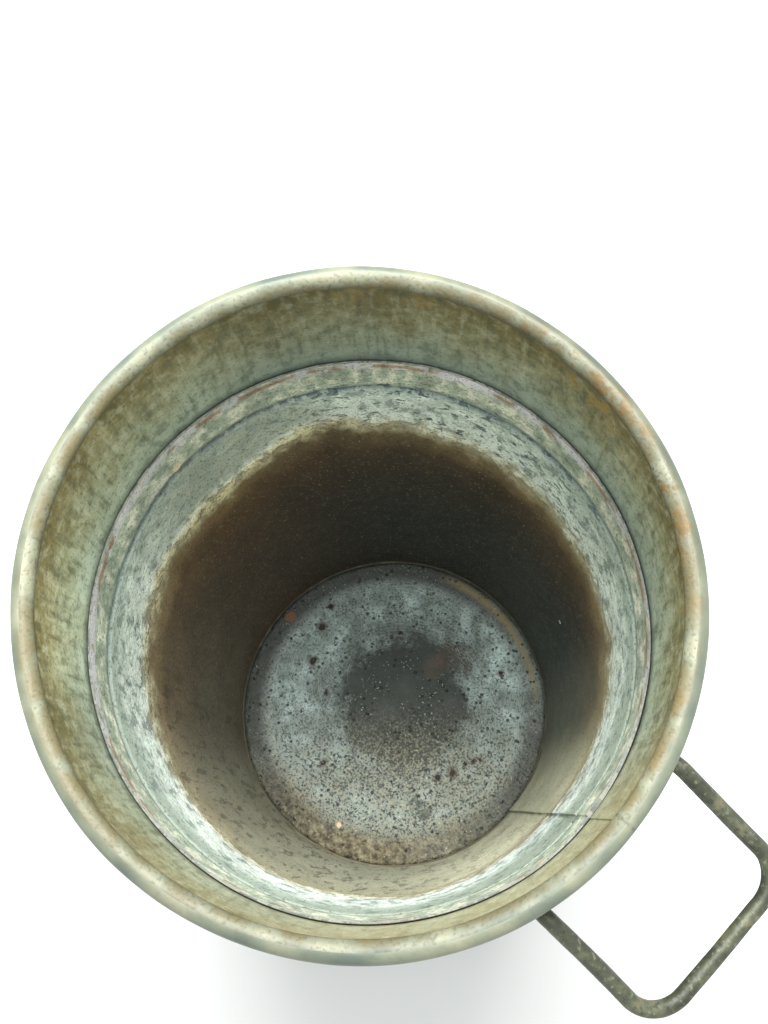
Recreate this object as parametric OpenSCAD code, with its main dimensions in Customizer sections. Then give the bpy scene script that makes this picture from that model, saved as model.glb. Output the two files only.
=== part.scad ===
// Tapered sheet-metal feed scoop: a wired rim on a collar, a soldered body with a set-in bottom,
// and a fixed side handle of bent wire. Millimetres. The vessel's axis is +Z, the handle points to +X,
// and the foot stands on z = 0.

/* [Vessel] */
// Outside diameter over the rolled rim
rim_od = 160; // [130:1:200]
// Outside diameter of the foot
base_od = 118; // [95:1:142]
// Height from the foot to the top of the rim
height = 216; // [160:1:270]
// Thickness of the galvanised sheet
sheet = 0.7; // [0.5:0.1:1]

/* [Rim] */
// Diameter of the wire rolled into the rim
rim_wire_d = 4; // [3:0.5:5]
// Gap at the butted ends of the rim wire
rim_wire_gap = 1; // [0.5:0.5:3]

/* [Collar] */
// Depth of the collar's lower edge below the middle of the rim
collar_depth = 54; // [46:1:70]
// How far the collar laps over the body
collar_lap = 14; // [8:1:16]
// Height of the ring swaged out of the body under the collar
swage_h = 3.6; // [2.4:0.2:5]
// How far that ring stands out
swage_out = 1.1; // [0.6:0.1:1.4]

/* [Bottom] */
// Height of the bottom above the foot
bottom_lift = 7; // [5:0.5:12]
// Radius where the bottom turns down into its flange
bottom_corner_r = 1.8; // [1.2:0.1:2.4]
// Height of the foot's inturned hem
hem_h = 3.2; // [2:0.1:4]

/* [Side seam] */
// Width of the lap in the side seams
seam_w = 6; // [4:0.5:8]
// Angle from the handle to the seams
seam_angle = 2; // [0:0.5:3]

/* [Handle] */
// Diameter of the handle wire
handle_wire_d = 4; // [3:0.5:5]
// Distance between the middles of the handle's two legs
handle_w = 45; // [40:1:52]
// Length of the loop from the collar to the middle of its bar
handle_out = 40; // [34:1:55]
// How far the loop slopes down, in degrees
handle_droop = 20; // [0:1:30]
// Depth of the loop's roots below the middle of the rim
handle_depth = 15; // [12:1:20]
// Bend radius at the two outer corners
handle_corner_r = 9; // [6:0.5:12]
// Bend radius at the roots, to the middle of the wire
handle_root_r = 5; // [3:0.5:6]

/* [Handle clips] */
// Width of each clip
clip_w = 20; // [16:1:22]
// Height of each clip
clip_h = 24; // [18:1:28]
// Gap from the loop's roots down to the clips
clip_drop = 7; // [6:0.5:10]
// Thickness of the solder bed under each clip
solder_t = 0.3; // [0.2:0.1:0.5]
// How far the solder shows round each clip
solder_edge = 1.5; // [1:0.5:2.5]

/* [Hidden] */
$fn = 96;

fit_gap = 0.1;            // clearance between a sheet and the sheet or wire that it wraps
bead_facets = 64;
swage_steps = 6;
elbow_swell = 0.06;       // extra diameter of a bent wire's elbows
elbow_overlap = 0.2;      // how far a rod runs into an elbow
bed_gap = 0.02;           // keeps round or faceted faces off the tapered ones beside them
seam_solder_t = 0.35;
seam_solder_w = 1;
curl_gap = 0.4;           // how far the raw edge of the rim's roll stops from the wall
curl_mouth_share = 0.45;  // height of the roll's open mouth, as a share of the roll's radius
leg_short = 2;            // how far the handle's legs stop above the clips' lower edges

bead_r = rim_wire_d / 2 + fit_gap + sheet;
bead_ring_r = rim_od / 2 - bead_r;
bead_z = height - bead_r;

// The vessel's wall is one straight cone. Each sheet's outside radius is the cone's radius plus an offset.
collar_outside = sheet + fit_gap;
slope = (bead_ring_r + sheet / 2 - collar_outside - base_od / 2) / bead_z;
taper = atan(slope);
collar_low = bead_z - collar_depth;
body_top = collar_low + collar_lap;
swage_z = collar_low - fit_gap - swage_h / 2;
pan_r = cone_r(bottom_lift - bottom_corner_r) - sheet - fit_gap;
clip_top = bead_z - handle_depth - clip_drop;
seam_span = seam_w / bead_ring_r * 180 / PI;

// Handle wire: its centre line runs on the solder bed, up out of the clips and round the loop.
leg_offset = collar_outside + solder_t + fit_gap + handle_wire_d / 2;
root_z = bead_z - handle_depth;
root_x = sqrt(pow(cone_r(root_z) + leg_offset, 2) - pow(handle_w / 2, 2));
root_angle = asin(handle_w / 2 / (cone_r(root_z) + leg_offset));
bar_x = root_x + handle_out * cos(handle_droop);
bar_z = root_z - handle_out * sin(handle_droop);
leg_end_z = clip_top - clip_h + leg_short;

function cone_r(z) = base_od / 2 + slope * z;

function unit(v) = v / norm(v);

// A point beside the wall: angle round the axis, offset out from the body's outside, height
function beside_wall(angle, offset, z) =
    [(cone_r(z) + offset) * cos(angle), (cone_r(z) + offset) * sin(angle), z];

// Outward bulge of the swaged ring at a height, zero above and below it
function swage(z) = abs(z - swage_z) >= swage_h / 2 ? 0 : swage_out * cos(180 * (z - swage_z) / swage_h);

// Heights of the points up the body's outside, above the foot's first fold
body_heights = concat(
    [sheet, swage_z - swage_h / 2],
    [for (i = [1 : swage_steps - 1]) swage_z - swage_h / 2 + i * swage_h / swage_steps],
    [swage_z + swage_h / 2, body_top]
);

// A band that follows the cone: how far its outside is from the body's outside, thickness, two heights
module plain_band(offset, thickness, low, high, angle = 360) {
    rotate_extrude(angle = angle)
        polygon([
            [cone_r(low) + offset - thickness, low],
            [cone_r(low) + offset, low],
            [cone_r(high) + offset, high],
            [cone_r(high) + offset - thickness, high]
        ]);
}

// The second thickness of sheet in a lapped side seam, rooted in the first one
module seam_lap(offset, low, high) {
    root = sheet / 2;
    inward = offset < 0;
    rotate([0, 0, seam_angle])
        plain_band(inward ? offset + root : offset, sheet + root, low, high, seam_span);
}

// Places children with their X, Y and Z axes along three unit vectors, at a point
module placed(x_axis, y_axis, z_axis, at) {
    multmatrix([
        [x_axis.x, y_axis.x, z_axis.x, at.x],
        [x_axis.y, y_axis.y, z_axis.y, at.y],
        [x_axis.z, y_axis.z, z_axis.z, at.z],
        [0, 0, 0, 1]
    ]) children();
}

// Round rod between two points
module rod(from, to, d) {
    z_axis = unit(to - from);
    x_axis = unit(cross(z_axis, abs(z_axis.z) < 0.9 ? [0, 0, 1] : [1, 0, 0]));
    placed(x_axis, cross(z_axis, x_axis), z_axis, from) cylinder(h = norm(to - from), d = d);
}

// Length that a rounded corner takes from each of its two straights
function corner_cut(before, corner, after, r) =
    r * tan(acos(unit(corner - before) * unit(after - corner)) / 2);

// Rounded corner of a bent rod, a hair fuller than the rods, which end inside it
module elbow(before, corner, after, r, d) {
    into = unit(corner - before);
    out = unit(after - corner);
    turn = acos(into * out);
    z_axis = unit(cross(into, out));
    start = corner - into * corner_cut(before, corner, after, r);
    x_axis = -cross(z_axis, into);
    placed(x_axis, into, z_axis, start - x_axis * r)
        rotate_extrude(angle = turn) translate([r, 0]) circle(d = d + elbow_swell);
}

// Wire bent through a list of corners, with a bend radius at each inner one
module bent_wire(points, radii, d) {
    last = len(points) - 1;
    cuts = [
        for (i = [0 : last])
            i == 0 || i == last ? 0 : corner_cut(points[i - 1], points[i], points[i + 1], radii[i])
    ];
    for (i = [0 : last - 1]) {
        along = unit(points[i + 1] - points[i]);
        into_elbow = [for (j = [i, i + 1]) j == 0 || j == last ? 0 : elbow_overlap];
        rod(
            points[i] + along * (cuts[i] - into_elbow[0]),
            points[i + 1] - along * (cuts[i + 1] - into_elbow[1]),
            d
        );
    }
    for (i = [1 : last - 1])
        elbow(points[i - 1], points[i], points[i + 1], radii[i], d);
}

// Lower sheet of the vessel: lapped side seam, swaged ring, and a hem turned in under the bottom's flange
module body() {
    lap_low = bottom_lift + bottom_corner_r;
    // Wall, flange and hem lie one inside the other, with a gap on each side of the flange
    hem_r = cone_r(0) - 3 * sheet - 2 * fit_gap;
    outside = [for (z = body_heights) [cone_r(z) + swage(z), z]];
    inside = [for (i = [len(outside) - 1 : -1 : 0]) outside[i] - [sheet, 0]];
    hem = [[hem_r + sheet, sheet], [hem_r + sheet, hem_h], [hem_r, hem_h], [hem_r, 0], [cone_r(0), 0]];
    color("#a9b0a4") {
        rotate_extrude() polygon(concat(outside, inside, hem));
        seam_lap(-sheet, lap_low, body_top);
    }
}

// Upper sheet of the vessel, rolled at the top round the rim wire
module collar() {
    bead_inner_r = rim_wire_d / 2 + fit_gap;
    color("#b3b5a0") {
        difference() {
            union() {
                plain_band(collar_outside, sheet, collar_low, bead_z - bead_inner_r);
                rotate_extrude($fn = 2 * $fn) translate([bead_ring_r, bead_z]) circle(bead_r, $fn = bead_facets);
            }
            rotate_extrude() translate([bead_ring_r, bead_z]) circle(bead_inner_r, $fn = bead_facets);
            // The raw edge of the roll stops short of the wall
            rotate_extrude()
                translate([bead_ring_r + sheet, bead_z - bead_r])
                    square([curl_gap, curl_mouth_share * bead_r]);
        }
        seam_lap(collar_outside + sheet, collar_low, bead_z - bead_r);
    }
}

// Wire inside the rolled rim, with butted ends at the seam
module rim_wire() {
    gap_angle = rim_wire_gap / bead_ring_r * 180 / PI;
    color("#6b6760")
        rotate([0, 0, seam_angle + gap_angle / 2])
            rotate_extrude(angle = 360 - gap_angle)
                translate([bead_ring_r, bead_z]) circle(d = rim_wire_d, $fn = bead_facets);
}

// Bottom: a flat disc with a rounded edge and a flange turned down inside the foot
module bottom_pan() {
    inner_r = bottom_corner_r - sheet;
    flange_low = sheet + fit_gap;
    flange_low_r = cone_r(flange_low) - sheet - fit_gap;
    corner = [pan_r - bottom_corner_r, bottom_lift - bottom_corner_r];
    color("#8e989b") rotate_extrude() {
        translate([0, bottom_lift - sheet]) square([corner.x, sheet]);
        translate(corner) intersection() {
            difference() {
                circle(bottom_corner_r);
                circle(inner_r);
            }
            square(bottom_corner_r);
        }
        polygon([
            [flange_low_r - sheet, flange_low],
            [flange_low_r, flange_low],
            [pan_r, corner.y],
            [pan_r - sheet, corner.y]
        ]);
    }
}

// Handle: one length of wire, down one clip, round the loop and down the other
module handle_wire() {
    leg = [for (s = [1, -1]) beside_wall(s * root_angle, leg_offset, leg_end_z)];
    root = [for (s = [1, -1]) beside_wall(s * root_angle, leg_offset, root_z)];
    corner = [for (s = [1, -1]) [bar_x, s * handle_w / 2, bar_z]];
    color("#7d7c6c")
        bent_wire(
            [leg[0], root[0], corner[0], corner[1], root[1], leg[1]],
            [0, handle_root_r, handle_corner_r, handle_corner_r, handle_root_r, 0],
            handle_wire_d
        );
}

// A sector of a band on the collar, centred on an angle, with a width measured round the wall
module wall_patch(angle, offset, thickness, width, low, high) {
    span = width / cone_r(high) * 180 / PI;
    rotate([0, 0, angle - span / 2]) plain_band(offset, thickness, low, high, span);
}

// Sheet clip: two ears on the solder bed and a hump over the wire, drawn in section. side is 1 or -1
module handle_clip(side) {
    angle = side * root_angle;
    bed = collar_outside + solder_t + bed_gap;
    bed_r = cone_r(clip_top) + bed;
    wire_at = leg_offset - bed;
    // Outside of the hump, clear of the wire by two gaps
    hump_r = handle_wire_d / 2 + 2 * fit_gap + sheet;
    foot = beside_wall(angle, bed, clip_top - clip_h);
    up_wall = unit(beside_wall(angle, bed, clip_top) - foot);
    round_wall = [-sin(angle), cos(angle), 0];
    color("#9aa096")
        placed(cross(round_wall, up_wall), round_wall, up_wall, foot)
            linear_extrude(clip_h) difference() {
                union() {
                    intersection() {
                        translate([-bed_r, 0]) circle(bed_r + sheet);
                        translate([-clip_w, -clip_w / 2]) square([2 * clip_w, clip_w]);
                    }
                    translate([wire_at, 0]) circle(hump_r);
                }
                translate([-bed_r, 0]) circle(bed_r);
                translate([wire_at, 0]) circle(hump_r - sheet);
            }
}

// Solder bed between a clip and the collar. side is 1 or -1
module clip_solder(side) {
    low = clip_top - clip_h - solder_edge;
    color("#b9bdb8")
        wall_patch(
            side * root_angle, collar_outside + solder_t, solder_t, clip_w + 2 * solder_edge,
            low, clip_top + solder_edge
        );
}

module handle_clip_left() {
    handle_clip(1);
}

module handle_clip_right() {
    handle_clip(-1);
}

module clip_solder_left() {
    clip_solder(1);
}

module clip_solder_right() {
    clip_solder(-1);
}

// Solder run into the notch between the collar's lower edge and the body's swaged ring, all the way round
module collar_solder() {
    top = collar_low - fit_gap;
    low = top - swage_h / swage_steps;
    on_swage = [for (z = [low, top]) [cone_r(z) + swage(z) + bed_gap, z]];
    color("#c3c6bd") rotate_extrude() polygon(concat(on_swage, [
        [cone_r(collar_low) + collar_outside - sheet / 2, collar_low],
        [cone_r(collar_low) + collar_outside, collar_low]
    ]));
}

// Solder in the groove between the rounded edge of the bottom and the wall
module bottom_solder() {
    low = bottom_lift - bottom_corner_r / 2;
    edge = bottom_corner_r * (1 - sqrt(3) / 2);
    color("#6f7370") rotate_extrude() polygon([
        [pan_r - edge, low],
        [cone_r(low) - sheet, low],
        [cone_r(bottom_lift) - sheet, bottom_lift]
    ]);
}

// A run of solder along the raw edge of a lapped seam, from one height to another
module seam_run(offset, low, high) {
    run_span = seam_solder_w / bead_ring_r * 180 / PI;
    color("#c3c6bd")
        rotate([0, 0, seam_angle - run_span])
            plain_band(offset, seam_solder_t, low, high, run_span);
}

module body_seam_solder() {
    seam_run(-sheet, bottom_lift + bottom_corner_r, body_top);
}

module collar_seam_solder() {
    seam_run(collar_outside + seam_solder_t, collar_low, bead_z - bead_r);
}

body();
collar();
rim_wire();
bottom_pan();
handle_wire();
handle_clip_left();
handle_clip_right();
clip_solder_left();
clip_solder_right();
collar_solder();
bottom_solder();
body_seam_solder();
collar_seam_solder();
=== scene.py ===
import math

import bmesh
import bpy
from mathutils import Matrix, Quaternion, Vector, noise


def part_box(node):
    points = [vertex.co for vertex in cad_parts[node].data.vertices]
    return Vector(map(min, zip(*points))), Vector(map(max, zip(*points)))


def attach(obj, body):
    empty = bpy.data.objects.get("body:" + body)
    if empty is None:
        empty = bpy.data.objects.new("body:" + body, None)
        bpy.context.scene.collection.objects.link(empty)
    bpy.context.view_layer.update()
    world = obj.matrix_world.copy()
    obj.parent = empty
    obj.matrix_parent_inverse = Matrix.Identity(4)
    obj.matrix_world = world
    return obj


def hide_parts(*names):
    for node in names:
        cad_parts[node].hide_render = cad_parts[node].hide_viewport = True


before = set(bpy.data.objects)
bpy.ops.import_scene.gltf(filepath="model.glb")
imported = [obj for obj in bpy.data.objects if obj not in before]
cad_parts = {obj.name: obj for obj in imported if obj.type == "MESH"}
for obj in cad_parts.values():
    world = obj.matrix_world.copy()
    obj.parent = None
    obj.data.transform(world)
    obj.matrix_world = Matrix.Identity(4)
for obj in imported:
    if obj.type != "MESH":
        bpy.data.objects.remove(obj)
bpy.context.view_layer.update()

MM = 0.001
TURN = 2 * math.pi


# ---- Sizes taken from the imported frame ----

def outer_radius(node, height, reach=0.3 * MM):
    """Largest radius that a CAD node has near a height."""
    points = [v.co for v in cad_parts[node].data.vertices]
    return max(math.hypot(p.x, p.y) for p in points if abs(p.z - height) < reach)


wire_low, wire_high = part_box("rim_wire")
collar_box_low, collar_box_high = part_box("collar")
handle_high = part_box("handle_wire")[1]
RIM_Z = (wire_low.z + wire_high.z) / 2
RIM_WIRE_R = (wire_high.z - wire_low.z) / 2
BEAD_R = collar_box_high.z - RIM_Z
RING_R = -collar_box_low.x - BEAD_R
COLLAR_LOW = collar_box_low.z
BODY_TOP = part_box("body")[1].z
FOOT_R = outer_radius("body", 0)
SLOPE = (outer_radius("body", BODY_TOP) - FOOT_R) / BODY_TOP
BOTTOM_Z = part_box("bottom_pan")[1].z
PAN_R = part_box("bottom_pan")[1].x
CLIP_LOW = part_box("handle_clip_left")[0].z
CLIP_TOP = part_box("handle_clip_left")[1].z
BAR_Y = handle_high.y

# Sizes of the sheet work, as in the CAD source
SHEET = 0.7 * MM
FIT_GAP = 0.1 * MM
COLLAR_OUTSIDE = SHEET + FIT_GAP
SWAGE_H = 3.6 * MM
SWAGE_OUT = 1.1 * MM
SWAGE_Z = COLLAR_LOW - FIT_GAP - SWAGE_H / 2
PAN_CORNER_R = 1.8 * MM
HEM_H = 3.2 * MM
SEAM = math.radians(2)
SEAM_SPAN = 6 * MM / RING_R
SOLDER_T = 0.3 * MM
HANDLE_WIRE_R = 2 * MM
HANDLE_DEPTH = 15 * MM
HANDLE_OUT = 40 * MM
HANDLE_DROOP = math.radians(20)
CORNER_R = 9 * MM
ROOT_R = 5 * MM
CLIP_W = 20 * MM
LEG_OFFSET = COLLAR_OUTSIDE + SOLDER_T + FIT_GAP + HANDLE_WIRE_R
CLOSE = 0.0002                     # radians from a seam's raw edge to the columns beside it


# ---- Shape helpers ----

OVAL = 1 * MM                      # the rim is this much out of round
OVAL_ANGLE = math.radians(-25.3)   # direction of its long axis
OVAL_SHIFT = 0.63                  # keeps the handle's side where the CAD has it
RIPPLE = 0.28 * MM
# Shallow dents: angle in degrees, height, spread and depth in millimetres
DENTS = [
    (-152, 118, 16, 0.9), (84, 60, 20, 0.8), (150, 92, 12, 0.5), (-70, 34, 14, 0.7),
    (-118, 190, 13, 0.6)
]


def smooth(low, high, value):
    """0 below low, 1 above high, and a smooth rise between."""
    t = min(1.0, max(0.0, (value - low) / (high - low)))
    return t * t * (3 - 2 * t)


def wander(seed, x, y=0.0, z=0.0):
    """Smooth noise from about -1 to 1 that is the same each run."""
    return noise.noise(Vector((x, y, z)) + Vector((17.3, 5.1, 9.7)) * seed)


def around(seed, angle, turns):
    """Smooth noise along an angle that closes on itself, with about that many waves in a turn."""
    size = turns / TURN
    return wander(seed, math.cos(angle) * size, math.sin(angle) * size)


def wall_r(z):
    return FOOT_R + SLOPE * z


def warp(angle, z):
    """How far the whole wall is out of true: an oval rim, soft ripples and a few dents."""
    lift = (z / RIM_Z) ** 2
    shift = OVAL * lift * (math.cos(2 * (angle - OVAL_ANGLE)) - OVAL_SHIFT)
    shift += RIPPLE * wander(1, math.cos(angle) * 2, math.sin(angle) * 2, z * 22) * smooth(0, 40 * MM, z)
    for dent_angle, dent_z, spread, depth in DENTS:
        across = math.remainder(angle - math.radians(dent_angle), TURN) * wall_r(z) / (spread * MM)
        up = (z - dent_z * MM) / (spread * MM)
        shift -= depth * MM * math.exp(-across * across - up * up)
    return shift


def wall_point(angle, offset, z):
    """Point beside the wall, an offset outside the body's nominal outside."""
    r = wall_r(z) + offset + warp(angle, z)
    return Vector((r * math.cos(angle), r * math.sin(angle), z))


def steps(start, end, size):
    """Even steps from start to end, ends included, no longer than size."""
    count = max(1, math.ceil(abs(end - start) / size))
    return [start + (end - start) * i / count for i in range(count + 1)]


def linked(name, data):
    """Object made from its data and put in the scene."""
    made = bpy.data.objects.new(name, data)
    bpy.context.scene.collection.objects.link(made)
    return made


def finish_mesh(name, mesh, materials, nodes=(), sharp=40):
    """Links a mesh as a piece. A second material goes on the faces that look outward."""
    shape = bmesh.new()
    shape.from_mesh(mesh)
    bmesh.ops.recalc_face_normals(shape, faces=shape.faces)
    shape.to_mesh(mesh)
    shape.free()
    mesh.shade_smooth()
    mesh.set_sharp_from_angle(angle=math.radians(sharp))
    for material in materials:
        mesh.materials.append(material)
    if len(materials) > 1:
        for face in mesh.polygons:
            face.material_index = int(face.normal.x * face.center.x + face.normal.y * face.center.y > 0)
    piece = linked(name, mesh)
    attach(piece, "root")
    if nodes:
        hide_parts(*nodes)
    return piece


def skin(name, columns, ring=True, loop=True):
    """Mesh through columns of points. ring joins last column to first, loop closes each column."""
    rows = len(columns[0])
    points = [p for column in columns for p in column]
    faces = []
    for i in range(len(columns) if ring else len(columns) - 1):
        here, there = i * rows, (i + 1) % len(columns) * rows
        for j in range(rows if loop else rows - 1):
            k = (j + 1) % rows
            faces.append((here + j, there + j, there + k, here + k))
    if not ring:
        faces.append(tuple(range(rows)))
        faces.append(tuple(range(len(points) - rows, len(points))))
    if not loop:
        faces.append(tuple(i * rows for i in range(len(columns))))
        faces.append(tuple(i * rows + rows - 1 for i in range(len(columns))))
    mesh = bpy.data.meshes.new(name)
    mesh.from_pydata(points, [], faces)
    return mesh


def turned(name, section, angles, ring=True, loop=True):
    """Mesh turned round the axis. section(angle) gives offsets from the wall and heights there."""
    columns = [[wall_point(a, offset, z) for offset, z in section(a)] for a in angles]
    return skin(name, columns, ring, loop)


def full_turn(count, extra=()):
    """Angles round a whole turn, with a close pair on each side of every extra angle."""
    even = [SEAM + TURN * (i + 0.5) / count for i in range(count)]
    pairs = [a + side for a in extra for side in (-CLOSE, CLOSE)]
    return sorted(set(even + pairs))


def lap_share(angle, start):
    """1 from a seam's raw edge, fading to 0 where the sheet has come back to the true cone."""
    past = math.remainder(angle - SEAM, TURN)
    return 1 - smooth(start, math.radians(18), past) if past >= 0 else 0.0


def in_lap(angle):
    return 0 <= math.remainder(angle - SEAM, TURN) <= SEAM_SPAN


# ---- Sheet-metal pieces ----

def swage(z):
    """Outward bulge of the ring under the collar."""
    if abs(z - SWAGE_Z) >= SWAGE_H / 2:
        return 0.0
    return SWAGE_OUT * (1 + math.cos(TURN * (z - SWAGE_Z) / SWAGE_H)) / 2


def body_section(angle):
    """Outline of the lower sheet: down the inside, round the hem and up the outside."""
    lean = SHEET * (0.35 + 0.3 * around(2, angle, 11))
    top = BODY_TOP + 0.35 * MM * around(3, angle, 26) + 0.12 * MM * around(4, angle, 90)
    inner_shift = SHEET * lap_share(angle, 0)
    outer_shift = 0.0 if in_lap(angle) else SHEET * lap_share(angle, SEAM_SPAN)
    hem_r = -3 * SHEET - 2 * FIT_GAP
    heights = steps(BODY_TOP, SWAGE_Z + SWAGE_H / 2, 1.5 * MM)
    heights += steps(SWAGE_Z + SWAGE_H / 2, SWAGE_Z - SWAGE_H / 2, 0.3 * MM)[1:]
    heights += steps(SWAGE_Z - SWAGE_H / 2, SHEET, 2 * MM)[1:]

    def place(z, outside):
        top_part = smooth(BODY_TOP - 6 * MM, BODY_TOP, z)
        offset = swage(z) - lean * top_part
        offset -= outer_shift * (1 - top_part) if outside else SHEET + inner_shift
        return offset, z + (top - BODY_TOP) * top_part

    round_edge = 0.25 * SHEET
    inside = [place(z, False) for z in heights]
    outside = [place(z, True) for z in reversed(heights)]
    inside[0] = (inside[0][0], inside[0][1] - round_edge)
    outside[-1] = (outside[-1][0], outside[-1][1] - round_edge)
    crest = [
        (outside[-1][0] - round_edge, outside[-1][1] + round_edge),
        (inside[0][0] + round_edge, inside[0][1] + round_edge)
    ]
    hem = [
        (-2 * SHEET - FIT_GAP, SHEET), (-2 * SHEET - FIT_GAP, HEM_H), (hem_r, HEM_H),
        (hem_r, 0.3 * SHEET), (hem_r + 0.3 * SHEET, 0), (-0.6 * SHEET, 0), (-0.15 * SHEET, 0.25 * SHEET)
    ]
    return inside + hem + outside + crest


def build_body(materials):
    angles = full_turn(480, (SEAM, SEAM + SEAM_SPAN))
    mesh = turned("body_sheet", body_section, angles)
    return finish_mesh("body_sheet", mesh, materials, ["body"])


def collar_section(angle):
    """Outline of the upper sheet: up the outside, over the rolled rim and down the inside."""
    outer_shift = SHEET * lap_share(angle, SEAM_SPAN)
    inner_shift = -0.3 * MM * lap_share(angle, 0)
    swell = 0.1 * MM * around(5, angle, 40) - 0.16 * MM
    bead_r = BEAD_R + swell
    drop = 0.12 * MM * around(6, angle, 9) - 0.1 * MM
    ring_offset = RING_R - wall_r(RIM_Z)
    neck = RIM_Z - BEAD_R * 0.92
    low = COLLAR_LOW + 0.2 * MM * around(7, angle, 30)
    heights = steps(low, neck, 2 * MM)
    bead = []
    for i in range(41):
        turn = math.radians(-72 + 324 * i / 40)
        z = RIM_Z + drop + bead_r * math.sin(turn)
        bead.append((ring_offset + bead_r * math.cos(turn) + wall_r(RIM_Z) - wall_r(z), z))
    outside = [(COLLAR_OUTSIDE + outer_shift, z) for z in heights]
    inside = [(FIT_GAP + inner_shift, z) for z in reversed(heights)]
    return outside + bead + inside


def build_collar(materials):
    angles = full_turn(480, (SEAM, SEAM + SEAM_SPAN))
    mesh = turned("collar_sheet", collar_section, angles)
    return finish_mesh("collar_sheet", mesh, materials, ["collar"])


def build_rim_wire(material):
    """The wire in the roll, butted at the seam. It follows the oval rim, inside the bead."""
    ring_offset = RING_R - wall_r(RIM_Z)
    r = RIM_WIRE_R - 0.02 * MM

    def section(_angle):
        turns = [TURN * i / 16 for i in range(16)]
        return [(ring_offset + r * math.cos(t) - SLOPE * r * math.sin(t),
                 RIM_Z - 0.1 * MM + r * math.sin(t)) for t in turns]

    gap = 0.5 * MM / RING_R
    mesh = turned("rim_wire_ring", section, steps(SEAM + 2 * gap, SEAM + TURN, math.radians(2)),
                  ring=False)
    return finish_mesh("rim_wire_ring", mesh, [material], ["rim_wire"])


def build_bottom(material):
    """Set-in bottom: a slightly uneven disc with a rounded edge and a flange turned down in the foot."""
    def column(angle):
        def uneven(r):
            reach = r / PAN_R
            wave = wander(8, math.cos(angle) * reach * 1.3, math.sin(angle) * reach * 1.3)
            crown = 0.35 * (1 - smooth(0.5, 0.9, reach))
            return MM * (crown + 0.22 * wave - 0.45) * (1 - smooth(0.86, 0.96, reach)) - 0.05 * MM

        def arc_point(r, turn):
            return centre[0] + r * math.cos(turn), centre[1] + r * math.sin(turn) - 0.05 * MM

        corner_r = PAN_CORNER_R
        centre = (PAN_R - corner_r, BOTTOM_Z - corner_r)
        radii = steps(1.2 * MM, centre[0], 1.2 * MM)
        top = [(r, BOTTOM_Z + uneven(r)) for r in radii]
        under = [(r, BOTTOM_Z - SHEET + uneven(r)) for r in reversed(radii)]
        turns = [math.radians(a) for a in range(75, -1, -15)]
        bend = [arc_point(corner_r, t) for t in turns]
        under_bend = [arc_point(corner_r - SHEET, t) for t in reversed(turns)]
        low = SHEET + FIT_GAP
        flange_r = FOOT_R + SLOPE * low - SHEET - FIT_GAP
        flange = [(flange_r, low), (flange_r - SHEET, low)]
        outline = top + bend + flange + under_bend + under
        return [Vector((r * math.cos(angle), r * math.sin(angle), z)) for r, z in outline]

    angles = [TURN * i / 300 for i in range(300)]
    mesh = skin("bottom_disc", [column(a) for a in angles], loop=False)
    return finish_mesh("bottom_disc", mesh, [material], ["bottom_pan"])


# ---- Solder ----

def build_bottom_solder(material):
    """Uneven fillet of solder round the bottom's edge, inside."""
    def section(angle):
        creep = 0.5 * MM * (0.6 + around(9, angle, 30) + 0.5 * around(10, angle, 110))
        low = BOTTOM_Z - PAN_CORNER_R / 2
        # Half a radius down, the corner's arc stands in by this share of its radius
        corner_inset = 0.134
        edge = PAN_R - wall_r(low) - PAN_CORNER_R * corner_inset
        return [
            (edge, low), (-SHEET, low), (-SHEET, BOTTOM_Z + max(0, creep)),
            (-SHEET - 0.25 * MM, BOTTOM_Z), (edge - max(0, creep) * 0.5, BOTTOM_Z - 0.3 * MM)
        ]

    mesh = turned("bottom_solder_fillet", section, full_turn(400))
    return finish_mesh("bottom_solder_fillet", mesh, [material], ["bottom_solder"])


def build_collar_solder(material):
    """Solder run into the notch under the collar's lower edge, outside, with an uneven edge."""
    def section(angle):
        creep = 0.35 * MM * around(11, angle, 50) + 0.2 * MM * around(12, angle, 150)
        top = COLLAR_LOW + 0.25 * MM
        low = COLLAR_LOW - 1.3 * MM + creep
        mid = (top + low) / 2
        return [
            (swage(low) - 0.2 * MM, low), (swage(low) + 0.06 * MM, low),
            (COLLAR_OUTSIDE + 0.28 * MM, mid),
            (COLLAR_OUTSIDE + 0.05 * MM, COLLAR_LOW + 1.1 * MM + creep),
            (COLLAR_OUTSIDE - 0.2 * MM, COLLAR_LOW + 1.1 * MM + creep), (swage(mid) - 0.2 * MM, mid)
        ]

    mesh = turned("collar_solder_run", section, full_turn(480))
    return finish_mesh("collar_solder_run", mesh, [material], ["collar_solder"])


def build_seam_solder(name, node, material, side_offset, outward, low, high, seed):
    """Thin smear of solder down the raw edge of a lapped seam. outward is 1 on the outside, -1 inside."""
    def section(angle):
        share = math.remainder(SEAM - angle, TURN) * RING_R / MM
        heights = steps(low, high, 1.2 * MM)
        face = []
        for z in heights:
            width = 1.1 + 0.5 * wander(seed, z * 90) + 0.3 * wander(seed + 1, z * 330)
            height = 0.3 * MM * max(0.05, 1 - share / width)
            face.append((side_offset + outward * height, z))
        back = [(side_offset - outward * 0.2 * MM, z) for z in reversed(heights)]
        return face + back

    angles = steps(SEAM - 2 * MM / RING_R, SEAM - CLOSE, 0.25 * MM / RING_R)
    mesh = turned(name, section, angles, ring=False)
    return finish_mesh(name, mesh, [material], [node])


def root_angle():
    """Angle from the handle's middle to each of its legs, at the roots."""
    z = RIM_Z - HANDLE_DEPTH
    return math.asin((BAR_Y - HANDLE_WIRE_R) / (wall_r(z) + LEG_OFFSET))


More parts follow.
